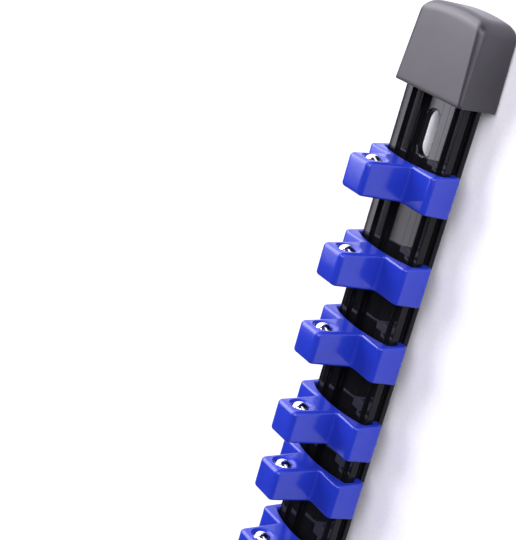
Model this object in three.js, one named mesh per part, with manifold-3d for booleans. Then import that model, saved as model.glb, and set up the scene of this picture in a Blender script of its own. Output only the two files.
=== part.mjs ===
// Socket rail for a workbench or a drawer: a glossy black extruded rail with a slotted screw hole
// near each end, a soft moulded cap pushed over each end, and a row of plastic clips that slide
// along it. Each clip is a saddle with a square drive post, and a sprung ball in the post's face
// holds a socket on it.
// Millimetres. X runs along the rail, Y across it and Z up. The origin lies in the plane that the
// caps stand on, under the middle of the rail.

import * as THREE from 'three';
import { mergeVertices } from 'three/addons/utils/BufferGeometryUtils.js';
import Module from 'manifold-3d';

const wasm = await Module();
wasm.setup();

// Fits and cuts
const seatGap = 0.3; // between two pieces that touch
const overrun = 2; // how far a cutter stands out of the piece that it cuts

// Rail: heights are measured from the bottom of its lips, and drops from its top
const railLength = 416;
const railHeight = 10;
const flangeHalfWidth = 15.6;
const flangeDrop = 1.2;
const flangeRounding = 0.5;
const lipInset = 0.9; // from the flange's edge
const lipHeight = 2.5;
const lipRounding = 1.1;
const grooveDepth = 2.5; // from the flange's edge
const grooveHeight = 3.5;
const beadInset = 2.7; // from the flange's edge
const beadRounding = 0.25;
const shelfHalfWidth = 10.2;
const shelfDrop = 1.2;
const stripHalfWidth = 5.6;
const stripDrop = 3.3;
const plateThickness = 2.4; // of the middle strip, where the screw slots are
const legThickness = 1.5;

// Screw slots
const slotLength = 16;
const slotWidth = 7.9;
const slotFromRailEnd = 38.4; // the slot's middle, from the rail's own end
const slotEndSteps = 8;

// End caps
const capLength = 29.3;
const capEndWall = 3.7;
const capSideWall = 2;
const capFloor = 2.7;
const capRoof = 2.8;
const capMouthRounding = 1.5; // along the two upper edges, at the mouth
const capFarRounding = 3.2; // along the same edges, at the closed end
const capFootRounding = 1.1;
const capEndRounding = 4.1;
const capEndCrown = 1.9; // bulge of the closed end, seen from above
const capWidthShare = 0.935; // width at the closed end, as a share of that at the mouth
const capHeightShare = 0.97; // the same for the height
const capCavityRadius = 0.7;
const capCornerSteps = 4;
const capEndSteps = 5;

// Clips: a half inch drive post on a saddle that is as long along the rail as the post's foot
const driveSize = 12.8; // of the post's foot
const postTaper = 0.5; // how much nearer to the middle each side of the post is at its top
const saddleFlare = 0.8; // how much further out each end face of the saddle is at its bottom
const wallSplay = 0.4; // how much further out each side wall is at its bottom
const postHeight = 17.1; // above the shoulders
const postRounding = 2; // along the upper edges
const postFillet = 0.8;
const shoulderRise = 4.8; // above the top of the rail
const shoulderRadius = 1.9;
const clipWall = 2.3;
const clipBottomRadius = 2.3;
const hookRounding = 1.1;
const archSpringDrop = 0.1; // where the arch leaves the side walls, below the top of the rail
const bridgeThickness = 2.1; // at the arch's crown, under the post
const archSteps = 6; // on each side of the crown
const clipEdge = 0.9; // rounding round both end faces
const clipEdgeSteps = 2;
const clipCornerSteps = 3;

// How the free length between the caps is shared out, from the right cap to the left one
const gapShares = [
  0.1155, 0.0886, 0.0727, 0.0799, 0.0421, 0.0768, 0.0725, 0.074, 0.063, 0.0705, 0.0675, 0.0703, 0.1066,
];

// Ball detent in each post
const ballRadius = 3.25;
const ballDrop = 6.1; // below the post's top
const dishRadius = 4.4;
const neckRadius = 3.05;
const neckDepth = 0.5;
const boreRadius = 3.55;
const boreDepth = 10;
const boreSides = 16;
const ballSides = 12;
const ballRows = 8;

// Spring behind each ball
const springWire = 0.6;
const springTurns = 3.5;
const springSteps = 8; // in one turn
const springSides = 4;

// Places worked out from the sizes above
const railBottom = capFloor + seatGap;
const railTop = railBottom + railHeight;
const railEnd = railLength / 2;
const grooveHalfWidth = flangeHalfWidth - grooveDepth;
const capHalfWidth = flangeHalfWidth + seatGap + capSideWall;
const capHeight = railTop + seatGap + capRoof;
const capMouth = railEnd + seatGap + capEndWall - capLength;
const capCavityDepth = capLength - capEndWall;
const shoulderTop = railTop + shoulderRise;
const postTop = shoulderTop + postHeight;
const clipInnerHalfWidth = flangeHalfWidth + seatGap;
const clipHalfWidth = clipInnerHalfWidth + clipWall;
const clipBottom = railBottom + lipHeight + seatGap;
const hookTop = railBottom + lipHeight + grooveHeight - seatGap;
const hookHalfWidth = grooveHalfWidth + seatGap;
const clipCount = gapShares.length - 1;
const clipLength = driveSize + 2 * saddleFlare;
const ballRise = postTop - ballDrop;
const ballDepth = neckDepth + Math.sqrt((ballRadius + seatGap) ** 2 - neckRadius ** 2);
const springRadius = boreRadius - seatGap - springWire / 2;
const springReach = ballRadius + seatGap + springWire / 2;
const springFront = ballDepth + Math.sqrt(springReach ** 2 - springRadius ** 2);
const springBack = boreDepth - seatGap - springWire / 2;

// Materials
const railBlack = new THREE.MeshStandardMaterial({ color: 0x111114, roughness: 0.16, metalness: 0.7 });
const capCharcoal = new THREE.MeshStandardMaterial({ color: 0x343337, roughness: 0.62, metalness: 0 });
const clipBlue = new THREE.MeshStandardMaterial({ color: 0x2f3fe6, roughness: 0.28, metalness: 0 });
const ballChrome = new THREE.MeshStandardMaterial({ color: 0xc9ccd1, roughness: 0.08, metalness: 1 });
const springSteel = new THREE.MeshStandardMaterial({ color: 0x9a9ca1, roughness: 0.35, metalness: 1 });

// A closed geometry as a solid that can be cut and joined
function toSolid(geometry) {
  const bare = geometry.clone();
  bare.deleteAttribute('normal');
  bare.deleteAttribute('uv');
  const merged = mergeVertices(bare);
  return new wasm.Manifold(new wasm.Mesh({
    numProp: 3,
    vertProperties: merged.attributes.position.array,
    triVerts: Uint32Array.from(merged.index.array),
  }));
}

function toGeometry(solid) {
  const mesh = solid.getMesh();
  const geometry = new THREE.BufferGeometry();
  geometry.setAttribute('position', new THREE.BufferAttribute(mesh.vertProperties, 3));
  geometry.setIndex(new THREE.BufferAttribute(mesh.triVerts, 1));
  geometry.computeVertexNormals();
  return geometry;
}

// Turns a section drawn in Y and Z, and extruded, so that it runs along X
function alongRail(geometry) {
  const xAxis = new THREE.Vector3(1, 0, 0);
  const yAxis = new THREE.Vector3(0, 1, 0);
  const zAxis = new THREE.Vector3(0, 0, 1);
  return geometry.applyMatrix4(new THREE.Matrix4().makeBasis(yAxis, zAxis, xAxis));
}

// The points of an outline whose corners are [y, z, radius], each rounded by its radius, or by
// less where the sides beside it are short
function roundedOutline(corners, steps) {
  const longestSetbackShare = 0.48;
  const points = [];
  corners.forEach(([y, z, radius], index) => {
    const here = new THREE.Vector2(y, z);
    const last = corners[(index + corners.length - 1) % corners.length];
    const next = corners[(index + 1) % corners.length];
    const toLast = new THREE.Vector2(last[0], last[1]).sub(here);
    const toNext = new THREE.Vector2(next[0], next[1]).sub(here);
    const room = longestSetbackShare * Math.min(toLast.length(), toNext.length());
    toLast.normalize();
    toNext.normalize();
    const halfAngle = Math.acos(toLast.dot(toNext)) / 2;
    const setback = Math.min(radius / Math.tan(halfAngle), room);
    if (setback === 0) {
      points.push(here);
      return;
    }
    const bisector = toLast.clone().add(toNext).normalize();
    const centre = here.clone().addScaledVector(bisector, setback / Math.cos(halfAngle));
    const start = here.clone().addScaledVector(toLast, setback);
    const side = Math.sign(toLast.cross(toNext));
    const turn = -side * (Math.PI - 2 * halfAngle);
    for (let step = 0; step <= steps; step += 1) {
      points.push(start.clone().rotateAround(centre, (turn * step) / steps));
    }
  });
  return points;
}

// A right half listed from top to bottom, closed with its mirror image on the left
function mirroredCorners(rightHalf) {
  const leftHalf = rightHalf.map(([y, z, radius]) => [-y, z, radius]).reverse();
  return [...rightHalf, ...leftHalf];
}

// A closed solid through rings of points, ending in a point in the middle of each end
function loft(rings, firstPoint, lastPoint) {
  const count = rings[0].length;
  const points = [...rings.flat(), firstPoint, lastPoint];
  const firstIndex = points.length - 2;
  const lastIndex = points.length - 1;
  const lastRing = (rings.length - 1) * count;
  const index = [];
  for (let here = 0; here < count; here += 1) {
    const next = (here + 1) % count;
    for (let ring = 0; ring < rings.length - 1; ring += 1) {
      const a = ring * count + here;
      const b = ring * count + next;
      index.push(a, b, b + count);
      index.push(a, b + count, a + count);
    }
    index.push(firstIndex, next, here);
    index.push(lastIndex, lastRing + here, lastRing + next);
  }
  const geometry = new THREE.BufferGeometry().setFromPoints(points);
  geometry.setIndex(index);
  return geometry;
}

function railSection() {
  const flangeTop = railTop - flangeDrop;
  const shelfTop = railTop - shelfDrop;
  const stripTop = railTop - stripDrop;
  const lipTop = railBottom + lipHeight;
  const grooveTop = lipTop + grooveHeight;
  const lipHalfWidth = flangeHalfWidth - lipInset;
  const beadHalfWidth = flangeHalfWidth - beadInset;
  const legInside = grooveHalfWidth - legThickness;
  const plateBottom = stripTop - plateThickness;
  const rightHalf = [
    [stripHalfWidth, stripTop, 0],
    [stripHalfWidth, shelfTop, 0],
    [shelfHalfWidth, shelfTop, 0],
    [shelfHalfWidth, railTop, beadRounding],
    [beadHalfWidth, railTop, beadRounding],
    [beadHalfWidth, flangeTop, 0],
    [flangeHalfWidth, flangeTop, flangeRounding],
    [flangeHalfWidth, grooveTop, 0],
    [grooveHalfWidth, grooveTop, 0],
    [grooveHalfWidth, lipTop, 0],
    [lipHalfWidth, lipTop, 0],
    [lipHalfWidth, railBottom, lipRounding],
    [legInside, railBottom, 0],
    [legInside, plateBottom, 0],
  ];
  const roundingSteps = 2;
  return new THREE.Shape(roundedOutline(mirroredCorners(rightHalf), roundingSteps));
}

function slotCutter() {
  const straight = slotLength - slotWidth;
  const outline = new THREE.Shape();
  outline.absarc(straight / 2, 0, slotWidth / 2, -Math.PI / 2, Math.PI / 2);
  outline.absarc(-straight / 2, 0, slotWidth / 2, Math.PI / 2, (3 * Math.PI) / 2);
  const depth = railHeight + 2 * overrun;
  const options = { depth, bevelEnabled: false, curveSegments: slotEndSteps };
  const geometry = new THREE.ExtrudeGeometry(outline, options);
  return geometry.translate(0, 0, railBottom - overrun);
}

function railGeometry() {
  const bar = new THREE.ExtrudeGeometry(railSection(), { depth: railLength, bevelEnabled: false });
  let solid = toSolid(alongRail(bar).translate(-railEnd, 0, 0));
  for (const side of [1, -1]) {
    const slot = slotCutter().translate(side * (railEnd - slotFromRailEnd), 0, 0);
    solid = solid.subtract(toSolid(slot));
  }
  return toGeometry(solid);
}

// One ring of the cap's outside: a rectangle with round corners, inset all round, whose middle
// bulges towards the closed end
function capRing(x, inset) {
  const along = x / (capLength - capEndCrown);
  const halfWidth = capHalfWidth * THREE.MathUtils.lerp(1, capWidthShare, along) - inset;
  const top = capHeight * THREE.MathUtils.lerp(1, capHeightShare, along) - inset;
  const upperRadius = THREE.MathUtils.lerp(capMouthRounding, capFarRounding, along);
  const corners = [
    [halfWidth, top, upperRadius],
    [-halfWidth, top, upperRadius],
    [-halfWidth, inset, capFootRounding],
    [halfWidth, inset, capFootRounding],
  ];
  return roundedOutline(corners, capCornerSteps).map(({ x: y, y: z }) => {
    const bulge = capEndCrown * along * (1 - (y / capHalfWidth) ** 2);
    return new THREE.Vector3(x + bulge, y, z);
  });
}

// The right cap, with its mouth at x = 0 and its closed end towards +X
function capGeometry() {
  const roundingStart = capLength - capEndCrown - capEndRounding;
  const rings = [capRing(0, 0)];
  for (let step = 0; step <= capEndSteps; step += 1) {
    const angle = ((Math.PI / 2) * step) / capEndSteps;
    const x = roundingStart + capEndRounding * Math.sin(angle);
    rings.push(capRing(x, capEndRounding * (1 - Math.cos(angle))));
  }
  const mouthMiddle = new THREE.Vector3(0, 0, capHeight / 2);
  const endMiddle = new THREE.Vector3(capLength, 0, (capHeight * capHeightShare) / 2);
  const outside = toSolid(loft(rings, mouthMiddle, endMiddle));
  const cavityTop = railTop + seatGap;
  const cavity = new THREE.Shape(roundedOutline([
    [clipInnerHalfWidth, cavityTop, capCavityRadius],
    [-clipInnerHalfWidth, cavityTop, capCavityRadius],
    [-clipInnerHalfWidth, capFloor, capCavityRadius],
    [clipInnerHalfWidth, capFloor, capCavityRadius],
  ], capCornerSteps));
  const depth = capCavityDepth + overrun;
  const cutter = alongRail(new THREE.ExtrudeGeometry(cavity, { depth, bevelEnabled: false }));
  return toGeometry(outside.subtract(toSolid(cutter.translate(-overrun, 0, 0))));
}

// The underside of the clip's bridge: a shallow arc, from the right side wall towards the crown
function archCorners() {
  const spring = railTop - archSpringDrop;
  const crown = shoulderTop - bridgeThickness;
  const rise = crown - spring;
  const radius = (clipInnerHalfWidth ** 2 + rise ** 2) / (2 * rise);
  const corners = [];
  for (let step = archSteps; step > 0; step -= 1) {
    const y = (clipInnerHalfWidth * step) / archSteps;
    corners.push([y, crown - radius + Math.sqrt(radius ** 2 - y ** 2), 0]);
  }
  return corners;
}

function clipSection() {
  const footHalf = driveSize / 2;
  const rightHalf = [
    [footHalf - postTaper, postTop, postRounding],
    [footHalf, shoulderTop, postFillet],
    [clipHalfWidth, shoulderTop, shoulderRadius],
    [clipHalfWidth + wallSplay, clipBottom, clipBottomRadius],
    [hookHalfWidth, clipBottom, hookRounding],
    [hookHalfWidth, hookTop, hookRounding],
    [clipInnerHalfWidth, hookTop, 0],
    ...archCorners(),
  ];
  return new THREE.Shape(roundedOutline(mirroredCorners(rightHalf), clipCornerSteps));
}

// The space for the ball and spring: a shallow dish, a neck that keeps the ball in, and a blind bore
function detentCutter() {
  const shoulder = boreRadius - neckRadius;
  const profile = [
    [0, boreDepth],
    [boreRadius, boreDepth],
    [boreRadius, neckDepth + shoulder],
    [neckRadius, neckDepth],
    [dishRadius, 0],
    [dishRadius, -overrun],
    [0, -overrun],
  ].map(([radius, depth]) => new THREE.Vector2(radius, -depth));
  const turned = new THREE.LatheGeometry(profile, boreSides);
  return turned.rotateZ(-Math.PI / 2);
}

// Half a clip's length along the rail, at a height
function halfLengthAt(z) {
  if (z > shoulderTop) {
    return driveSize / 2 - (postTaper * (z - shoulderTop)) / postHeight;
  }
  return driveSize / 2 + (saddleFlare * (shoulderTop - z)) / (shoulderTop - clipBottom);
}

// A clip with its middle at x = 0 and the ball's space in its +X face
function clipGeometry() {
  const body = new THREE.ExtrudeGeometry(clipSection(), {
    depth: driveSize - 2 * clipEdge,
    bevelThickness: clipEdge,
    bevelSize: clipEdge,
    bevelOffset: -clipEdge,
    bevelSegments: clipEdgeSteps,
  });
  alongRail(body).translate(clipEdge - driveSize / 2, 0, 0);
  const position = body.attributes.position;
  for (let index = 0; index < position.count; index += 1) {
    const stretch = halfLengthAt(position.getZ(index)) / (driveSize / 2);
    position.setX(index, position.getX(index) * stretch);
  }
  const cutter = detentCutter().translate(halfLengthAt(ballRise), 0, ballRise);
  return toGeometry(toSolid(body).subtract(toSolid(cutter)));
}

class Coil extends THREE.Curve {
  getPoint(share, target = new THREE.Vector3()) {
    const angle = share * springTurns * 2 * Math.PI;
    const x = -THREE.MathUtils.lerp(springFront, springBack, share);
    return target.set(x, springRadius * Math.cos(angle), springRadius * Math.sin(angle));
  }
}

function springGeometry() {
  const wire = new THREE.Shape();
  wire.absarc(0, 0, springWire / 2, 0, 2 * Math.PI);
  return new THREE.ExtrudeGeometry(new THREE.Shape(wire.getPoints(springSides).slice(0, springSides)), {
    steps: Math.round(springTurns * springSteps),
    extrudePath: new Coil(),
    bevelEnabled: false,
  });
}

function namedMesh(name, geometry, material) {
  const mesh = new THREE.Mesh(geometry, material);
  mesh.name = name;
  return mesh;
}

function addRail(parent) {
  parent.add(namedMesh('rail', railGeometry(), railBlack));
}

function addCaps(parent) {
  const geometry = capGeometry();
  const right = namedMesh('end_cap_right', geometry, capCharcoal);
  right.position.x = capMouth;
  const left = namedMesh('end_cap_left', geometry.clone(), capCharcoal);
  left.position.x = -capMouth;
  left.rotation.z = Math.PI;
  parent.add(right, left);
}

function addClips(parent) {
  const clip = clipGeometry();
  const ball = new THREE.SphereGeometry(ballRadius, ballSides, ballRows);
  const spring = springGeometry();
  const freeLength = 2 * capMouth - clipCount * clipLength;
  const faceAtBall = halfLengthAt(ballRise);
  let front = capMouth;
  for (let number = 1; number <= clipCount; number += 1) {
    front -= gapShares[number - 1] * freeLength;
    const station = new THREE.Group();
    station.position.x = front - clipLength / 2;
    const ballMesh = namedMesh(`detent_ball_${number}`, ball.clone(), ballChrome);
    ballMesh.position.set(faceAtBall - ballDepth, 0, ballRise);
    const springMesh = namedMesh(`ball_spring_${number}`, spring.clone(), springSteel);
    springMesh.position.set(faceAtBall, 0, ballRise);
    station.add(namedMesh(`clip_${number}`, clip.clone(), clipBlue), ballMesh, springMesh);
    parent.add(station);
    front -= clipLength;
  }
}

const group = new THREE.Group();
addRail(group);
addCaps(group);
addClips(group);

export default group;
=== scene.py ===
"""Looks for the socket rail: finer meshes for the CAD solids, their materials and a small studio.

Sizes in this file are in millimetres, in the frame of the CAD model, and points() turns them into
metres. X runs along the rail, Y across it and Z up. Where a clip sits comes from the frame.
"""

import math

import bmesh
import bpy
from mathutils import Matrix, Vector
from mathutils.geometry import delaunay_2d_cdt


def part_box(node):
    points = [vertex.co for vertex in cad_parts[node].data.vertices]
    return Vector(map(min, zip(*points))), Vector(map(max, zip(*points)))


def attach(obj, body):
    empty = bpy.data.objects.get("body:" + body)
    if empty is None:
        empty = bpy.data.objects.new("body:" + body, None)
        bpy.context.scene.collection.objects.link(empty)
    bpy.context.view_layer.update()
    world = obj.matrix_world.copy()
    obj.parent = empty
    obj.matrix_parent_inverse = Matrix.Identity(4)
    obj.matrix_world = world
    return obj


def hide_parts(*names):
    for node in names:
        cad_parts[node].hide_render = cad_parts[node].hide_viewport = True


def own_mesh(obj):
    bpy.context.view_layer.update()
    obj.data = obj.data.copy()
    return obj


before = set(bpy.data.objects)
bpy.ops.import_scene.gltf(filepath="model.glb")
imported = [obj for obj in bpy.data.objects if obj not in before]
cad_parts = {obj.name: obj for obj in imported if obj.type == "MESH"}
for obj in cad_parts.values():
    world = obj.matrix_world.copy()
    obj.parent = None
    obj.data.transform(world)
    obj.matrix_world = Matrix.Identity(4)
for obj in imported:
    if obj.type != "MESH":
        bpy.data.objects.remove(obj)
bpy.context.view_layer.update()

MM = 0.001
FULL_TURN = 2 * math.pi
QUARTER_TURN = math.pi / 2
SEAT_GAP = 0.3  # between pieces that fit together

# Meshes
FLAT_START = 0.03  # from a rounding to the first point of the flat side beside it
ROOM_SHARE = 0.46  # of a side, the most that the rounding at one end of it takes
SHARP_DEGREES = 45  # edges that turn by more than this are shaded sharp
RAIL_SHARP_DEGREES = 25
RAIL_CORNER_STEPS = 5
SLOT_END_STEPS = 20
CAP_CORNER_STEPS = 8
CAP_SIDE_PIECES = 12
CAP_END_STEPS = 12
CAP_RIM_STEPS = 3
CAP_RING_SHARES = (0.06, 0.2, 0.4, 0.6, 0.8)
CLIP_CORNER_STEPS = 7
CLIP_EDGE_STEPS = 6
ARCH_STEPS = 12
FACE_GRID = 1.1  # between the points inside a clip's end face
FACE_GRID_CLEARANCE = 0.35  # from those points to the face's edges
FILL_INSIDE = 1  # the mode of Blender's triangulation that stays inside the outline
MERGE_DISTANCE = 0.0001
HOLE_SIDES = 40
DISH_STEPS = 3
BALL_ROWS = 28
BALL_SIDES = 48
WIRE_SIDES = 10
SPRING_TURN_STEPS = 28
FLOOR_BEND_STEPS = 12

# Rail: heights are in the frame, and the section is the same on both sides
RAIL_BOTTOM = 3.0
RAIL_TOP = 13.0
RAIL_HALF_LENGTH = 208.0
FLANGE_HALF_WIDTH = 15.6
FLANGE_DROP = 1.2
LIP_INSET = 0.9
LIP_HEIGHT = 2.5
GROOVE_DEPTH = 2.5
GROOVE_HEIGHT = 3.5
BEAD_INSET = 2.7
SHELF_HALF_WIDTH = 10.2
SHELF_DROP = 1.2
STRIP_HALF_WIDTH = 5.6
STRIP_DROP = 3.3
PLATE_THICKNESS = 2.4
LEG_THICKNESS = 1.5
EDGE_ROUNDING = 0.25
LIP_ROUNDING = 1.1
BEAD_ROUNDING = 0.3
RAIL_END_CHAMFER = 0.12

# Screw slots
SLOT_LENGTH = 16.0
SLOT_WIDTH = 7.9
SLOT_FROM_RAIL_END = 38.4  # to the slot's middle
SLOT_CHAMFER = 0.45
SLOT_CHAMFER_MIDDLE_DROP = 0.27
SLOT_CHAMFER_MIDDLE_WIDTH = 0.07
CUT_OVERRUN = 1.0

# End caps
CAP_LENGTH = 29.3
CAP_END_WALL = 3.7
CAP_SIDE_WALL = 2.0
CAP_FLOOR = 2.7
CAP_ROOF = 2.8
CAP_MOUTH_ROUNDING = 1.5
CAP_FAR_ROUNDING = 3.2
CAP_FOOT_ROUNDING = 1.1
CAP_END_ROUNDING = 4.1
CAP_END_CROWN = 1.9
CAP_WIDTH_SHARE = 0.935  # of the mouth's width, at the closed end
CAP_HEIGHT_SHARE = 0.97  # of the mouth's height, at the closed end
CAP_RIM = 0.25  # rounding of the mouth's edges
CAVITY_ROUNDING = 0.7

# Clips: SHOULDER_TOP, CLIP_BOTTOM and ARCH_SPRING are heights in the frame
DRIVE_SIZE = 12.8  # of the post at its foot
POST_TAPER = 0.5  # on each side, up to the top of the post
SADDLE_FLARE = 0.8  # at each end, down to the bottom of the clip
WALL_SPLAY = 0.4  # of each side wall, down to the bottom of the clip
POST_HEIGHT = 17.1
POST_ROUNDING = 2.0
POST_FILLET = 0.8
SHOULDER_TOP = 17.8
SHOULDER_RADIUS = 1.9
CLIP_WALL = 2.3
CLIP_BOTTOM = 5.8
CLIP_BOTTOM_RADIUS = 2.3
HOOK_ROUNDING = 1.1
ARCH_SPRING = 12.9  # where the arch under the bridge starts
BRIDGE_THICKNESS = 2.1
SADDLE_EDGE = 0.9  # rounding of the end edges, up to the shoulder
POST_EDGE = 1.6  # the same, high on the post
EDGE_BLEND = 12.0  # the height above the shoulder that the change takes

# Ball detent
BALL_DROP = 6.1  # from the top of the post
BALL_RADIUS = 3.25
DISH_RADIUS = 4.4
DISH_ROUNDING = 0.35
DISH_DEPTH = 0.14
NECK_RADIUS = 3.05
NECK_DEPTH = 0.5
NECK_CHAMFER = 0.1
BORE_RADIUS = 3.55
BORE_DEPTH = 10.0
SPRING_WIRE = 0.6
SPRING_TURNS = 3.5

# Materials: colours run from the first to the second, roughness from low to high
NOISE_SPAN = (0.3, 0.7)
NOISE_DETAIL = 3
RAIL_COLOURS = ((0.003, 0.003, 0.004), (0.006, 0.006, 0.007))
RAIL_ROUGHNESS = (0.03, 0.05)
RAIL_IOR = 1.27
CAP_COLOURS = ((0.0175, 0.0155, 0.019), (0.023, 0.021, 0.026))
CAP_ROUGHNESS = (0.31, 0.41)
CLIP_COLOURS = ((0.012, 0.028, 0.34), (0.016, 0.034, 0.39))
CLIP_ROUGHNESS = (0.13, 0.2)
CLIP_IOR = 1.45
BALL_COLOUR = (0.82, 0.82, 0.84)
BALL_ROUGHNESS = (0.03, 0.1)
SPRING_COLOUR = (0.5, 0.51, 0.53)
SPRING_ROUGHNESS = (0.22, 0.42)
PAPER_COLOURS = ((0.84, 0.84, 0.845), (0.88, 0.88, 0.88))
PAPER_ROUGHNESS = (0.85, 0.95)

# Materials: the size of each grain, and the height of its relief
DRAWING_LINE_WIDTH = 0.4
DRAWING_LINE_LENGTH = 160.0
DRAWING_LINE_HEIGHT = 0.0003
RAIL_HAZE_WIDTH = 11.0
RAIL_HAZE_LENGTH = 67.0
CAP_GRAIN = 0.31
CAP_GRAIN_HEIGHT = 0.015
CAP_CLOUD = 17.0
CLIP_FLOW = 14.0
CLIP_FLOW_HEIGHT = 0.05
CLIP_SKIN = 0.63
CLIP_SKIN_HEIGHT = 0.002
BALL_MARK = 0.83
BALL_MARK_HEIGHT = 0.0006
WIRE_MARK = 0.4
WIRE_MARK_HEIGHT = 0.004
PAPER_FIBRE = 1.4
PAPER_FIBRE_HEIGHT = 0.015

# Floor
FLOOR_DROP = 0.3  # below the caps
FLOOR_HALF_WIDTH = 6000.0
FLOOR_NEAR = -6000.0
FLOOR_BEND_START = 5000.0
FLOOR_BEND_RADIUS = 2500.0
FLOOR_TOP = 5000.0

# Lights: middle, size in X and Y, and watts. The first four are level
BACK_PLACE = (590.0, 950.0, 900.0)
BACK_SIZE = (1220.0, 1100.0)
BACK_WATTS = 24
NEAR_STRIP_PLACE = (-90.0, 1013.5, 900.0)
NEAR_STRIP_SIZE = (140.0, 55.0)
NEAR_STRIP_WATTS = 0.19
FAR_STRIP_PLACE = (-215.0, 1013.5, 900.0)
FAR_STRIP_SIZE = (110.0, 55.0)
FAR_STRIP_WATTS = 0.09
EDGE_STRIP_PLACE = (-105.0, 1086.5, 900.0)
EDGE_STRIP_SIZE = (330.0, 17.0)
EDGE_STRIP_WATTS = 0.13
FRONT_PLACE = (700.0, -1300.0, 700.0)
FRONT_SIZE = (1400.0, 900.0)
FRONT_WATTS = 18
FRONT_AIM = (0.0, 0.0, 0.0)
RIGHT_PLACE = (1100.0, 1000.0, 500.0)
RIGHT_SIZE = (1600.0, 900.0)
RIGHT_WATTS = 25
RIGHT_AIM = (100.0, 0.0, 0.0)
TOP_PLACE = (900.0, -600.0, 1400.0)
TOP_SIZE = (1600.0, 1000.0)
TOP_WATTS = 20
TOP_AIM = (0.0, 0.0, 0.0)
LIGHT_COLOUR = (1.0, 0.97, 1.08)
WORLD_COLOUR = (0.9, 0.92, 0.95)
WORLD_STRENGTH = 0.05

# Camera
CAMERA_PLACE = (251.2, -340.0, 302.8)
CAMERA_AHEAD = (-0.3039, 0.7765, -0.5519)
CAMERA_UP = (0.9183, 0.3930, 0.0473)
CAMERA_SENSOR = 36.0
CAMERA_LENS = 91.7
CAMERA_CLIP_START = 10.0

STRIP_TOP = RAIL_TOP - STRIP_DROP
CAP_MOUTH = RAIL_HALF_LENGTH + SEAT_GAP + CAP_END_WALL - CAP_LENGTH
CLIP_INNER = FLANGE_HALF_WIDTH + SEAT_GAP
CLIP_HALF_WIDTH = CLIP_INNER + CLIP_WALL
CAP_HALF_WIDTH = CLIP_INNER + CAP_SIDE_WALL
CAP_TOP = RAIL_TOP + SEAT_GAP + CAP_ROOF
POST_TOP = SHOULDER_TOP + POST_HEIGHT
BALL_RISE = POST_TOP - BALL_DROP
BALL_DEPTH = NECK_DEPTH + math.sqrt((BALL_RADIUS + SEAT_GAP) ** 2 - NECK_RADIUS**2)
SPRING_RADIUS = BORE_RADIUS - SEAT_GAP - SPRING_WIRE / 2
CLIP_COUNT = sum(1 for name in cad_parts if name.startswith("clip_"))


def points(coordinates):
    """Points in millimetres as vectors in metres."""
    return [Vector(c) * MM for c in coordinates]


def corner_points(last, here, after, radius, steps):
    """One corner of an outline, rounded where there is room, as pairs of a point and its inward step.

    The inward step is how the point moves where the outline shrinks by one millimetre. A rounded corner
    has one more point on each straight side, which keeps the side flat.
    """
    to_last = last - here
    to_next = after - here
    room = ROOM_SHARE * min(to_last.length, to_next.length)
    to_last.normalize()
    to_next.normalize()
    inward = Vector((-to_last.y, to_last.x))
    if radius == 0:
        next_inward = Vector((to_next.y, -to_next.x))
        return [(here, (inward + next_inward) / (1 + inward.dot(next_inward)))]
    half_angle = to_last.angle(to_next) / 2
    setback = min(radius / math.tan(half_angle), room)
    centre = here + (to_last + to_next).normalized() * (setback / math.cos(half_angle))
    start = here + to_last * setback
    side = math.copysign(1, to_last.x * to_next.y - to_last.y * to_next.x)
    turn = side * (2 * half_angle - math.pi)
    pairs = [(start + to_last * FLAT_START, inward)]
    for step in range(steps + 1):
        swing = Matrix.Rotation(turn * step / steps, 2)
        pairs.append((centre + swing @ (start - centre), swing @ inward))
    pairs.append((here + to_next * (setback + FLAT_START), pairs[-1][1]))
    return pairs


def rounded(corners, steps, side_pieces=1):
    """An outline, as pairs of a point and its inward step, from clockwise (y, z, radius) corners."""
    groups = []
    for index, (y, z, radius) in enumerate(corners):
        last = Vector(corners[index - 1][:2])
        after = Vector(corners[(index + 1) % len(corners)][:2])
        groups.append(corner_points(last, Vector((y, z)), after, radius, steps))
    outline = []
    for group, next_group in zip(groups, groups[1:] + groups[:1]):
        outline += group
        point, inward = group[-1]
        for piece in range(1, side_pieces):
            outline.append((point.lerp(next_group[0][0], piece / side_pieces), inward))
    return outline


def mirrored(right_half):
    """A right half listed from top to bottom, closed with its mirror image."""
    left_half = [(-y, z, radius) for y, z, radius in reversed(right_half)]
    return right_half + left_half


def add_tube(mesh, rings, close=True):
    """Joins rings of vertices with quads. Every ring runs the same way round."""
    for first, second in zip(rings, rings[1:]):
        count = len(first)
        for here in range(count if close else count - 1):
            after = (here + 1) % count
            mesh.faces.new((first[here], first[after], second[after], second[here]))


def add_closed_tube(mesh, rings):
    """A tube through rings of points in millimetres, with a face across each end."""
    vertex_rings = [[mesh.verts.new(p) for p in points(ring)] for ring in rings]
    add_tube(mesh, vertex_rings)
    mesh.faces.new(vertex_rings[0])
    mesh.faces.new(vertex_rings[-1])


def new_data(name, mesh):
    """Mesh data from a bmesh, with its faces turned outwards."""
    bmesh.ops.recalc_face_normals(mesh, faces=mesh.faces)
    data = bpy.data.meshes.new(name)
    mesh.to_mesh(data)
    mesh.free()
    return data


def new_object(name, data, material, sharp_degrees=SHARP_DEGREES):
    """A Blender object from mesh data, with smooth shading that breaks at sharp edges."""
    data.shade_smooth()
    data.set_sharp_from_angle(angle=math.radians(sharp_degrees))
    data.materials.clear()
    data.materials.append(material)
    piece = bpy.data.objects.new(name, data)
    bpy.context.scene.collection.objects.link(piece)
    return piece


def stand_in(piece, node, body):
    """The piece takes the place of a CAD node and moves with a CAD body."""
    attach(piece, body)
    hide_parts(node)


# Materials


def new_material(name, **inputs):
    """A principled material, with those of its inputs set that are the same all over."""
    material = bpy.data.materials.new(name)
    material.use_nodes = True
    shader = material.node_tree.nodes["Principled BSDF"]
    for key, value in inputs.items():
        shader.inputs[key.replace("_", " ")].default_value = value
    return material, material.node_tree, shader


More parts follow.
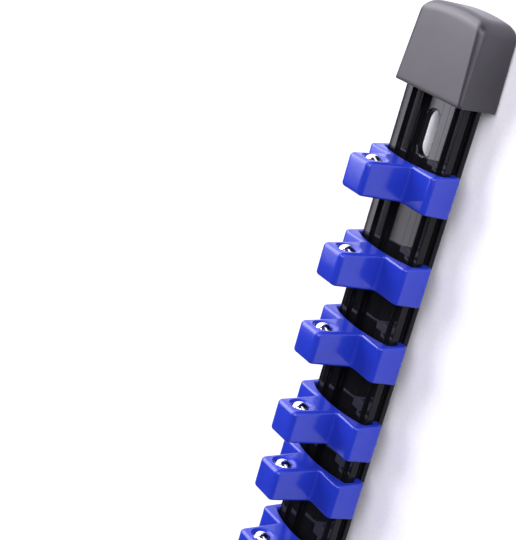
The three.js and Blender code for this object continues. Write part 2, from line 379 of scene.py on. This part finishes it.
def noise_node(tree, width, length=None):
    """Noise over the object, with cells of a width, and of another length along the rail if given."""
    place = tree.nodes.new("ShaderNodeTexCoord")
    mapping = tree.nodes.new("ShaderNodeMapping")
    mapping.inputs["Scale"].default_value = [1 / (size * MM) for size in (length or width, width, width)]
    noise = tree.nodes.new("ShaderNodeTexNoise")
    noise.inputs["Scale"].default_value = 1
    noise.inputs["Detail"].default_value = NOISE_DETAIL
    tree.links.new(place.outputs["Object"], mapping.inputs["Vector"])
    tree.links.new(mapping.outputs["Vector"], noise.inputs["Vector"])
    return noise.outputs["Fac"]


def vary_roughness(tree, shader, noise, limits):
    """Roughness that moves between two limits with a noise."""
    spread = tree.nodes.new("ShaderNodeMapRange")
    spread.inputs["From Min"].default_value, spread.inputs["From Max"].default_value = NOISE_SPAN
    spread.inputs["To Min"].default_value, spread.inputs["To Max"].default_value = limits
    tree.links.new(noise, spread.inputs["Value"])
    tree.links.new(spread.outputs["Result"], shader.inputs["Roughness"])


def vary_colour(tree, shader, noise, colours):
    """A colour that moves from the first to the second with a noise."""
    ramp = tree.nodes.new("ShaderNodeValToRGB")
    for element, position, colour in zip(ramp.color_ramp.elements, NOISE_SPAN, colours):
        element.position = position
        element.color = (*colour, 1)
    tree.links.new(noise, ramp.inputs["Fac"])
    tree.links.new(ramp.outputs["Color"], shader.inputs["Base Color"])


def add_relief(tree, shader, noise, height, below=None):
    """Relief of a height, on top of another relief if there is one."""
    bump = tree.nodes.new("ShaderNodeBump")
    bump.inputs["Distance"].default_value = height * MM
    tree.links.new(noise, bump.inputs["Height"])
    if below is not None:
        tree.links.new(below, bump.inputs["Normal"])
    tree.links.new(bump.outputs["Normal"], shader.inputs["Normal"])
    return bump.outputs["Normal"]


def rail_material():
    """Black anodised aluminium: glossy, with faint drawing lines along the extrusion."""
    material, tree, shader = new_material("rail_black", IOR=RAIL_IOR)
    lines = noise_node(tree, DRAWING_LINE_WIDTH, DRAWING_LINE_LENGTH)
    haze = noise_node(tree, RAIL_HAZE_WIDTH, RAIL_HAZE_LENGTH)
    vary_colour(tree, shader, haze, RAIL_COLOURS)
    vary_roughness(tree, shader, haze, RAIL_ROUGHNESS)
    add_relief(tree, shader, lines, DRAWING_LINE_HEIGHT)
    return material


def cap_material():
    """Soft moulded rubber: matt charcoal with a fine grain."""
    material, tree, shader = new_material("cap_charcoal")
    grain = noise_node(tree, CAP_GRAIN)
    cloud = noise_node(tree, CAP_CLOUD)
    vary_colour(tree, shader, cloud, CAP_COLOURS)
    vary_roughness(tree, shader, grain, CAP_ROUGHNESS)
    add_relief(tree, shader, grain, CAP_GRAIN_HEIGHT)
    return material


def clip_material():
    """Moulded royal blue plastic: glossy, and slightly uneven as mouldings are."""
    material, tree, shader = new_material("clip_blue", IOR=CLIP_IOR)
    flow = noise_node(tree, CLIP_FLOW)
    skin = noise_node(tree, CLIP_SKIN)
    vary_colour(tree, shader, flow, CLIP_COLOURS)
    vary_roughness(tree, shader, skin, CLIP_ROUGHNESS)
    flow_relief = add_relief(tree, shader, flow, CLIP_FLOW_HEIGHT)
    add_relief(tree, shader, skin, CLIP_SKIN_HEIGHT, below=flow_relief)
    return material


def chrome_material():
    """Polished steel of the balls, with the faintest lapping marks."""
    material, tree, shader = new_material("ball_chrome", Base_Color=(*BALL_COLOUR, 1), Metallic=1)
    marks = noise_node(tree, BALL_MARK)
    vary_roughness(tree, shader, marks, BALL_ROUGHNESS)
    add_relief(tree, shader, marks, BALL_MARK_HEIGHT)
    return material


def spring_material():
    """Drawn spring wire."""
    material, tree, shader = new_material("spring_steel", Base_Color=(*SPRING_COLOUR, 1), Metallic=1)
    marks = noise_node(tree, WIRE_MARK)
    vary_roughness(tree, shader, marks, SPRING_ROUGHNESS)
    add_relief(tree, shader, marks, WIRE_MARK_HEIGHT)
    return material


def floor_material():
    """White studio paper."""
    material, tree, shader = new_material("studio_paper")
    fibre = noise_node(tree, PAPER_FIBRE)
    vary_colour(tree, shader, fibre, PAPER_COLOURS)
    vary_roughness(tree, shader, fibre, PAPER_ROUGHNESS)
    add_relief(tree, shader, fibre, PAPER_FIBRE_HEIGHT)
    return material


# Rail


def rail_outline():
    """The extruded section, clockwise from the strip's right edge."""
    flange_top = RAIL_TOP - FLANGE_DROP
    shelf_top = RAIL_TOP - SHELF_DROP
    lip_top = RAIL_BOTTOM + LIP_HEIGHT
    groove_top = lip_top + GROOVE_HEIGHT
    groove = FLANGE_HALF_WIDTH - GROOVE_DEPTH
    lip = FLANGE_HALF_WIDTH - LIP_INSET
    bead = FLANGE_HALF_WIDTH - BEAD_INSET
    leg_inside = groove - LEG_THICKNESS
    plate_bottom = STRIP_TOP - PLATE_THICKNESS
    right_half = [
        (STRIP_HALF_WIDTH, STRIP_TOP, EDGE_ROUNDING),
        (STRIP_HALF_WIDTH, shelf_top, EDGE_ROUNDING),
        (SHELF_HALF_WIDTH, shelf_top, EDGE_ROUNDING),
        (SHELF_HALF_WIDTH, RAIL_TOP, BEAD_ROUNDING),
        (bead, RAIL_TOP, BEAD_ROUNDING),
        (bead, flange_top, EDGE_ROUNDING),
        (FLANGE_HALF_WIDTH, flange_top, EDGE_ROUNDING),
        (FLANGE_HALF_WIDTH, groove_top, EDGE_ROUNDING),
        (groove, groove_top, EDGE_ROUNDING),
        (groove, lip_top, EDGE_ROUNDING),
        (lip, lip_top, EDGE_ROUNDING),
        (lip, RAIL_BOTTOM, LIP_ROUNDING),
        (leg_inside, RAIL_BOTTOM, EDGE_ROUNDING),
        (leg_inside, plate_bottom, EDGE_ROUNDING),
    ]
    return rounded(mirrored(right_half), RAIL_CORNER_STEPS)


def slot_outline(grow):
    """A slot's outline, seen from above, that is larger all round by grow."""
    straight = (SLOT_LENGTH - SLOT_WIDTH) / 2
    radius = SLOT_WIDTH / 2 + grow
    outline = []
    for side in (1, -1):
        for step in range(SLOT_END_STEPS + 1):
            angle = math.pi * step / SLOT_END_STEPS - QUARTER_TURN
            x = straight + radius * math.cos(angle)
            outline.append((side * x, side * radius * math.sin(angle)))
    return outline


def slot_cutter(middle):
    """A slot's cutter, which chamfers the slot's edge at the top of the strip."""
    levels = [
        (RAIL_BOTTOM - CUT_OVERRUN, 0),
        (STRIP_TOP - SLOT_CHAMFER, 0),
        (STRIP_TOP - SLOT_CHAMFER_MIDDLE_DROP, SLOT_CHAMFER_MIDDLE_WIDTH),
        (STRIP_TOP, SLOT_CHAMFER),
        (STRIP_TOP + CUT_OVERRUN, SLOT_CHAMFER),
    ]
    mesh = bmesh.new()
    add_closed_tube(mesh, [[(middle + x, y, z) for x, y in slot_outline(grow)] for z, grow in levels])
    cutter = bpy.data.objects.new("slot_cutter", new_data("slot_cutter", mesh))
    bpy.context.scene.collection.objects.link(cutter)
    return cutter


def cut(piece, cutters):
    """The mesh data of the piece less the cutters. The piece and the cutters are removed."""
    for cutter in cutters:
        boolean = piece.modifiers.new("cut", "BOOLEAN")
        boolean.operation = "DIFFERENCE"
        boolean.solver = "EXACT"
        boolean.object = cutter
    evaluated = piece.evaluated_get(bpy.context.evaluated_depsgraph_get())
    data = bpy.data.meshes.new_from_object(evaluated)
    for owner in [piece, *cutters]:
        bpy.data.objects.remove(owner)
    return data


def add_rail(material):
    """The extrusion, with its two slotted screw holes."""
    outline = rail_outline()
    stations = [
        (-RAIL_HALF_LENGTH, RAIL_END_CHAMFER),
        (-RAIL_HALF_LENGTH + RAIL_END_CHAMFER, 0),
        (RAIL_HALF_LENGTH - RAIL_END_CHAMFER, 0),
        (RAIL_HALF_LENGTH, RAIL_END_CHAMFER),
    ]
    rings = []
    for x, shrink in stations:
        rings.append([(x, *(point + inward * shrink)) for point, inward in outline])
    mesh = bmesh.new()
    add_closed_tube(mesh, rings)
    bar = new_object("bar", new_data("bar", mesh), material)
    slot_middle = RAIL_HALF_LENGTH - SLOT_FROM_RAIL_END
    data = cut(bar, [slot_cutter(slot_middle), slot_cutter(-slot_middle)])
    rail = new_object("rail_bar", data, material, RAIL_SHARP_DEGREES)
    stand_in(rail, "rail", "rail")


# End caps


def cap_ring(x, amount):
    """One ring of the cap's outside at x, moved in by an amount. It bulges towards the closed end."""
    along = x / (CAP_LENGTH - CAP_END_CROWN)
    half_width = CAP_HALF_WIDTH * (1 + (CAP_WIDTH_SHARE - 1) * along) - amount
    top = CAP_TOP * (1 + (CAP_HEIGHT_SHARE - 1) * along) - amount
    upper = CAP_MOUTH_ROUNDING + (CAP_FAR_ROUNDING - CAP_MOUTH_ROUNDING) * along
    corners = [
        (half_width, top, upper),
        (half_width, amount, CAP_FOOT_ROUNDING),
        (-half_width, amount, CAP_FOOT_ROUNDING),
        (-half_width, top, upper),
    ]
    ring = []
    for (y, z), _ in rounded(corners, CAP_CORNER_STEPS, CAP_SIDE_PIECES):
        bulge = CAP_END_CROWN * along * (1 - (y / CAP_HALF_WIDTH) ** 2)
        ring.append((x + bulge, y, z))
    return ring


def cavity_ring(x, amount):
    """One ring of the cap's inside at x, moved out by an amount."""
    half_width = CLIP_INNER + amount
    top = RAIL_TOP + SEAT_GAP + amount
    bottom = CAP_FLOOR - amount
    corners = [
        (half_width, top, CAVITY_ROUNDING),
        (half_width, bottom, CAVITY_ROUNDING),
        (-half_width, bottom, CAVITY_ROUNDING),
        (-half_width, top, CAVITY_ROUNDING),
    ]
    return [(x, y, z) for (y, z), _ in rounded(corners, CAP_CORNER_STEPS, CAP_SIDE_PIECES)]


def end_face_rings():
    """Rings over the cap's crowned end face, from its middle to the start of the rounding."""
    end = CAP_LENGTH - CAP_END_CROWN
    middle_z = CAP_TOP * CAP_HEIGHT_SHARE / 2
    rings = []
    for share in CAP_RING_SHARES:
        ring = []
        for _, y, z in cap_ring(end, CAP_END_ROUNDING):
            bulge = CAP_END_CROWN * (1 - (y * share / CAP_HALF_WIDTH) ** 2)
            ring.append((end + bulge, y * share, middle_z + (z - middle_z) * share))
        rings.append(ring)
    return rings


def cap_rings():
    """The right cap's rings, from the middle of its closed end, over the outside and into the cavity."""
    rings = end_face_rings()
    rounding_start = CAP_LENGTH - CAP_END_CROWN - CAP_END_ROUNDING
    for step in range(CAP_END_STEPS, -1, -1):
        angle = QUARTER_TURN * step / CAP_END_STEPS
        x = rounding_start + CAP_END_ROUNDING * math.sin(angle)
        rings.append(cap_ring(x, CAP_END_ROUNDING * (1 - math.cos(angle))))
    for share in reversed(CAP_RING_SHARES):
        rings.append(cap_ring(rounding_start * share, 0))
    rim = []
    for step in range(CAP_RIM_STEPS + 1):
        angle = QUARTER_TURN * step / CAP_RIM_STEPS
        rim.append((CAP_RIM * (1 - math.sin(angle)), CAP_RIM * (1 - math.cos(angle))))
    rings += [cap_ring(x, amount) for x, amount in rim]
    rings += [cavity_ring(x, amount) for x, amount in reversed(rim)]
    depth = CAP_LENGTH - CAP_END_WALL
    rings.append(cavity_ring(depth / 2, 0))
    rings.append(cavity_ring(depth, 0))
    return rings


def add_caps(material):
    """Both end caps. The left one is the right one turned half round."""
    for side, sign in (("right", 1), ("left", -1)):
        rings = []
        for ring in cap_rings():
            rings.append([(sign * (CAP_MOUTH + x), sign * y, z) for x, y, z in ring])
        mesh = bmesh.new()
        add_closed_tube(mesh, rings)
        name = f"cap_{side}"
        node = f"end_cap_{side}"
        stand_in(new_object(name, new_data(name, mesh), material), node, node)


# Clips


def arch_corners():
    """The underside of the clip's bridge: a shallow arc, from the right side wall towards the crown."""
    crown = SHOULDER_TOP - BRIDGE_THICKNESS
    rise = crown - ARCH_SPRING
    radius = (CLIP_INNER**2 + rise**2) / (2 * rise)
    corners = []
    for step in range(ARCH_STEPS, 0, -1):
        y = CLIP_INNER * step / ARCH_STEPS
        corners.append((y, crown - radius + math.sqrt(radius**2 - y**2), 0))
    return corners


def clip_outline():
    """A clip's section across the rail, clockwise from the top of its post."""
    foot_half = DRIVE_SIZE / 2
    hook_half_width = FLANGE_HALF_WIDTH - GROOVE_DEPTH + SEAT_GAP
    hook_top = RAIL_BOTTOM + LIP_HEIGHT + GROOVE_HEIGHT - SEAT_GAP
    right_half = [
        (foot_half - POST_TAPER, POST_TOP, POST_ROUNDING),
        (foot_half, SHOULDER_TOP, POST_FILLET),
        (CLIP_HALF_WIDTH, SHOULDER_TOP, SHOULDER_RADIUS),
        (CLIP_HALF_WIDTH + WALL_SPLAY, CLIP_BOTTOM, CLIP_BOTTOM_RADIUS),
        (hook_half_width, CLIP_BOTTOM, HOOK_ROUNDING),
        (hook_half_width, hook_top, HOOK_ROUNDING),
        (CLIP_INNER, hook_top, 0),
        *arch_corners(),
    ]
    return rounded(mirrored(right_half), CLIP_CORNER_STEPS)


def half_length_at(z):
    """Half a clip's length along the rail, at a height."""
    if z > SHOULDER_TOP:
        return DRIVE_SIZE / 2 - POST_TAPER * (z - SHOULDER_TOP) / POST_HEIGHT
    return DRIVE_SIZE / 2 + SADDLE_FLARE * (SHOULDER_TOP - z) / (SHOULDER_TOP - CLIP_BOTTOM)


def edge_at(z):
    """The rounding of a clip's end edges at a height: sharp round the saddle, and softer up the post."""
    share = min(max((z - SHOULDER_TOP) / EDGE_BLEND, 0), 1)
    return SADDLE_EDGE + (POST_EDGE - SADDLE_EDGE) * share


def clip_ring(outline, side, angle):
    """One ring round a clip, at an angle round its end edges: 0 is at the flat end, which leans out."""
    half = DRIVE_SIZE / 2
    ring = []
    for point, inward in outline:
        edge = edge_at(point.y)
        y, z = point + inward * edge * (1 - math.sin(angle))
        x = half - edge * (1 - math.cos(angle))
        ring.append((side * x * half_length_at(z) / half, y, z))
    return ring


def detent_profile():
    """Radius and depth along the dish, the neck and the bore, from the end face inwards."""
    profile = []
    for step in range(DISH_STEPS + 1):
        angle = QUARTER_TURN * step / DISH_STEPS
        radius = DISH_RADIUS - DISH_ROUNDING * math.sin(angle)
        profile.append((radius, DISH_DEPTH * (1 - math.cos(angle))))
    profile += [
        (NECK_RADIUS + NECK_CHAMFER, NECK_DEPTH - NECK_CHAMFER / 2),
        (NECK_RADIUS, NECK_DEPTH),
        (BORE_RADIUS, NECK_DEPTH + BORE_RADIUS - NECK_RADIUS),
        (BORE_RADIUS, BORE_DEPTH),
        (BORE_RADIUS / 2, BORE_DEPTH),
    ]
    return profile


def add_detent(mesh):
    """The walls of the dish and the bore in the clip's right face. Returns the dish's rim."""
    face = half_length_at(BALL_RISE)
    rings = []
    for radius, depth in detent_profile():
        ring = []
        for step in range(HOLE_SIDES):
            angle = FULL_TURN * step / HOLE_SIDES
            z = BALL_RISE + radius * math.sin(angle)
            x = face - depth if rings else half_length_at(z)
            ring.append((x, radius * math.cos(angle), z))
        rings.append([mesh.verts.new(p) for p in points(ring)])
    add_tube(mesh, rings)
    mesh.faces.new(rings[-1])
    return rings[0]


def gap_to_edge(here, start, end):
    """How far a point is from a straight edge."""
    along = end - start
    share = min(max((here - start).dot(along) / along.length_squared, 0), 1)
    return (start + along * share - here).length


def face_grid(corners, edges, has_hole):
    """Points spread over a clip's end face, clear of its edges and of the dish."""
    centre = Vector((0, BALL_RISE))
    grid = []
    for column in range(round(2 * CLIP_HALF_WIDTH / FACE_GRID)):
        for row in range(round((POST_TOP - CLIP_BOTTOM) / FACE_GRID)):
            here = Vector((column * FACE_GRID - CLIP_HALF_WIDTH, CLIP_BOTTOM + row * FACE_GRID))
            in_hole = has_hole and (here - centre).length < DISH_RADIUS
            gap = min(gap_to_edge(here, corners[first], corners[second]) for first, second in edges)
            if not in_hole and gap > FACE_GRID_CLEARANCE:
                grid.append(here)
    return grid


def loop_edges(start, count):
    """The edges of a closed loop of points that are numbered from start."""
    return [(start + index, start + (index + 1) % count) for index in range(count)]


def fill_end(mesh, side, rim, hole):
    """Fills a clip's end face with small triangles, inside its rim and round its hole if it has one."""
    border = rim + hole
    corners = [Vector((vertex.co.y, vertex.co.z)) / MM for vertex in border]
    edges = loop_edges(0, len(rim)) + loop_edges(len(rim), len(hole))
    corners += face_grid(corners, edges, bool(hole))
    outline = [list(range(len(rim)))]
    found = delaunay_2d_cdt(corners, edges, outline, FILL_INSIDE, MERGE_DISTANCE)
    spots, _, triangles, origins, _, _ = found
    vertices = []
    for spot, origin in zip(spots, origins):
        known = [border[index] for index in origin if index < len(border)]
        if known:
            vertices.append(known[0])
        else:
            place = (side * half_length_at(spot.y), spot.x, spot.y)
            vertices.append(mesh.verts.new(points([place])[0]))
    for triangle in triangles:
        if not all(vertices[index] in hole for index in triangle):
            mesh.faces.new([vertices[index] for index in triangle])
    unused = [vertex for vertex in mesh.verts if not vertex.link_faces]
    bmesh.ops.delete(mesh, geom=unused, context="VERTS")


def clip_mesh():
    """One clip with its middle at x = 0: the section swept along the rail, with rounded end edges."""
    mesh = bmesh.new()
    outline = clip_outline()
    angles = [QUARTER_TURN * step / CLIP_EDGE_STEPS for step in range(CLIP_EDGE_STEPS + 1)]
    right = [clip_ring(outline, 1, angle) for angle in angles]
    left = [clip_ring(outline, -1, angle) for angle in reversed(angles)]
    middle = [(0, *point) for point, _ in outline]
    rings = [[mesh.verts.new(p) for p in points(ring)] for ring in [*right, middle, *left]]
    add_tube(mesh, rings)
    fill_end(mesh, 1, rings[0], add_detent(mesh))
    fill_end(mesh, -1, rings[-1], [])
    return mesh


def ball_mesh():
    """A ball with its middle at the origin, turned from an arc about the X axis."""
    mesh = bmesh.new()
    spots = [FULL_TURN * side / BALL_SIDES for side in range(BALL_SIDES)]
    rings = []
    for row in range(1, BALL_ROWS):
        angle = math.pi * row / BALL_ROWS
        x = BALL_RADIUS * math.cos(angle)
        radius = BALL_RADIUS * math.sin(angle)
        ring = [(x, radius * math.cos(spot), radius * math.sin(spot)) for spot in spots]
        rings.append([mesh.verts.new(p) for p in points(ring)])
    add_tube(mesh, rings)
    for x, ring in ((BALL_RADIUS, rings[0]), (-BALL_RADIUS, rings[-1])):
        tip = mesh.verts.new(points([(x, 0, 0)])[0])
        for side in range(BALL_SIDES):
            mesh.faces.new((ring[side], ring[(side + 1) % BALL_SIDES], tip))
    return mesh


def spring_mesh(front, back):
    """An open coil of round wire along X, between two places."""
    along = Vector((1, 0, 0))
    steps = round(SPRING_TURNS * SPRING_TURN_STEPS)
    spots = [FULL_TURN * side / WIRE_SIDES for side in range(WIRE_SIDES)]
    rings = []
    for step in range(steps + 1):
        share = step / steps
        angle = FULL_TURN * SPRING_TURNS * share
        outward = Vector((0, math.cos(angle), math.sin(angle)))
        middle = along * (front + (back - front) * share) + outward * SPRING_RADIUS
        spokes = [outward * math.cos(spot) + along * math.sin(spot) for spot in spots]
        rings.append([middle + spoke * SPRING_WIRE / 2 for spoke in spokes])
    mesh = bmesh.new()
    add_closed_tube(mesh, rings)
    return mesh


def add_copy(name, shape, material, place):
    """A piece that is a copy of a shape, moved to a place in metres."""
    copy = shape.copy()
    bmesh.ops.translate(copy, verts=copy.verts, vec=place)
    return new_object(name, new_data(name, copy), material)


def add_clips(blue, chrome, steel):
    """Every clip with its ball and spring, placed where the frame has the clip."""
    face = half_length_at(BALL_RISE)
    reach = BALL_RADIUS + SEAT_GAP + SPRING_WIRE / 2
    ball_ahead = face - BALL_DEPTH
    spring_front = ball_ahead - math.sqrt(reach**2 - SPRING_RADIUS**2)
    spring_back = face - BORE_DEPTH + SEAT_GAP + SPRING_WIRE / 2
    clip_shape = clip_mesh()
    ball_shape = ball_mesh()
    spring_shape = spring_mesh(spring_front, spring_back)
    for number in range(1, CLIP_COUNT + 1):
        clip_node = f"clip_{number}"
        ball_node = f"detent_ball_{number}"
        spring_node = f"ball_spring_{number}"
        low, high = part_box(clip_node)
        middle = (low.x + high.x) / 2
        rise = BALL_RISE * MM
        clip = add_copy(f"clip_piece_{number}", clip_shape, blue, (middle, 0, 0))
        stand_in(clip, clip_node, clip_node)
        ball_place = (middle + ball_ahead * MM, 0, rise)
        ball = add_copy(f"detent_ball_piece_{number}", ball_shape, chrome, ball_place)
        stand_in(ball, ball_node, ball_node)
        spring = add_copy(f"ball_spring_piece_{number}", spring_shape, steel, (middle, 0, rise))
        stand_in(spring, spring_node, clip_node)
        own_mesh(spring)
    for shape in (clip_shape, ball_shape, spring_shape):
        shape.free()


# Studio


def add_floor(material):
    """A wide sheet of paper, turned up far behind the object."""
    profile = [(FLOOR_NEAR, 0), (FLOOR_BEND_START, 0)]
    for step in range(1, FLOOR_BEND_STEPS + 1):
        angle = QUARTER_TURN * step / FLOOR_BEND_STEPS
        y = FLOOR_BEND_START + FLOOR_BEND_RADIUS * math.sin(angle)
        profile.append((y, FLOOR_BEND_RADIUS * (1 - math.cos(angle))))
    profile.append((FLOOR_BEND_START + FLOOR_BEND_RADIUS, FLOOR_TOP))
    mesh = bmesh.new()
    rows = []
    for x in (-FLOOR_HALF_WIDTH, FLOOR_HALF_WIDTH):
        rows.append([mesh.verts.new(p) for p in points((x, y, z - FLOOR_DROP) for y, z in profile)])
    add_tube(mesh, rows, close=False)
    new_object("floor", new_data("floor", mesh), material)


def add_light(name, place, size, watts, aim=None):
    """A rectangular softbox that shines straight down, or at a point."""
    light = bpy.data.lights.new(name, "AREA")
    light.shape = "RECTANGLE"
    light.size, light.size_y = (side * MM for side in size)
    light.energy = watts
    light.color = LIGHT_COLOUR
    lamp = bpy.data.objects.new(name, light)
    lamp.location = points([place])[0]
    if aim:
        lamp.rotation_euler = (Vector(aim) - Vector(place)).to_track_quat("-Z", "Y").to_euler()
    bpy.context.scene.collection.objects.link(lamp)


def add_lights():
    """Softboxes all round, and strip lights behind that the rail's right end reflects as grey bands."""
    add_light("back", BACK_PLACE, BACK_SIZE, BACK_WATTS)
    add_light("near_strip", NEAR_STRIP_PLACE, NEAR_STRIP_SIZE, NEAR_STRIP_WATTS)
    add_light("far_strip", FAR_STRIP_PLACE, FAR_STRIP_SIZE, FAR_STRIP_WATTS)
    add_light("edge_strip", EDGE_STRIP_PLACE, EDGE_STRIP_SIZE, EDGE_STRIP_WATTS)
    add_light("front", FRONT_PLACE, FRONT_SIZE, FRONT_WATTS, FRONT_AIM)
    add_light("right", RIGHT_PLACE, RIGHT_SIZE, RIGHT_WATTS, RIGHT_AIM)
    add_light("top", TOP_PLACE, TOP_SIZE, TOP_WATTS, TOP_AIM)


def add_world():
    """A faint even light from all round, and colours shown as they are."""
    world = bpy.data.worlds.new("studio")
    world.use_nodes = True
    background = world.node_tree.nodes["Background"]
    background.inputs["Color"].default_value = (*WORLD_COLOUR, 1)
    background.inputs["Strength"].default_value = WORLD_STRENGTH
    bpy.context.scene.world = world
    bpy.context.scene.view_settings.view_transform = "Standard"


def add_camera():
    """The photo's right-hand view: above the rail's front, with its right end at the top."""
    camera = bpy.data.objects.new("camera", bpy.data.cameras.new("camera"))
    camera.data.sensor_width = CAMERA_SENSOR
    camera.data.lens = CAMERA_LENS
    camera.data.clip_start = CAMERA_CLIP_START * MM
    back = -Vector(CAMERA_AHEAD).normalized()
    right = Vector(CAMERA_UP).cross(back).normalized()
    level = back.cross(right)
    turn = Matrix((right, level, back)).transposed()
    camera.matrix_world = Matrix.Translation(points([CAMERA_PLACE])[0]) @ turn.to_4x4()
    bpy.context.scene.collection.objects.link(camera)
    bpy.context.scene.camera = camera


add_camera()
add_rail(rail_material())
add_caps(cap_material())
add_clips(clip_material(), chrome_material(), spring_material())
add_floor(floor_material())
add_lights()
add_world()
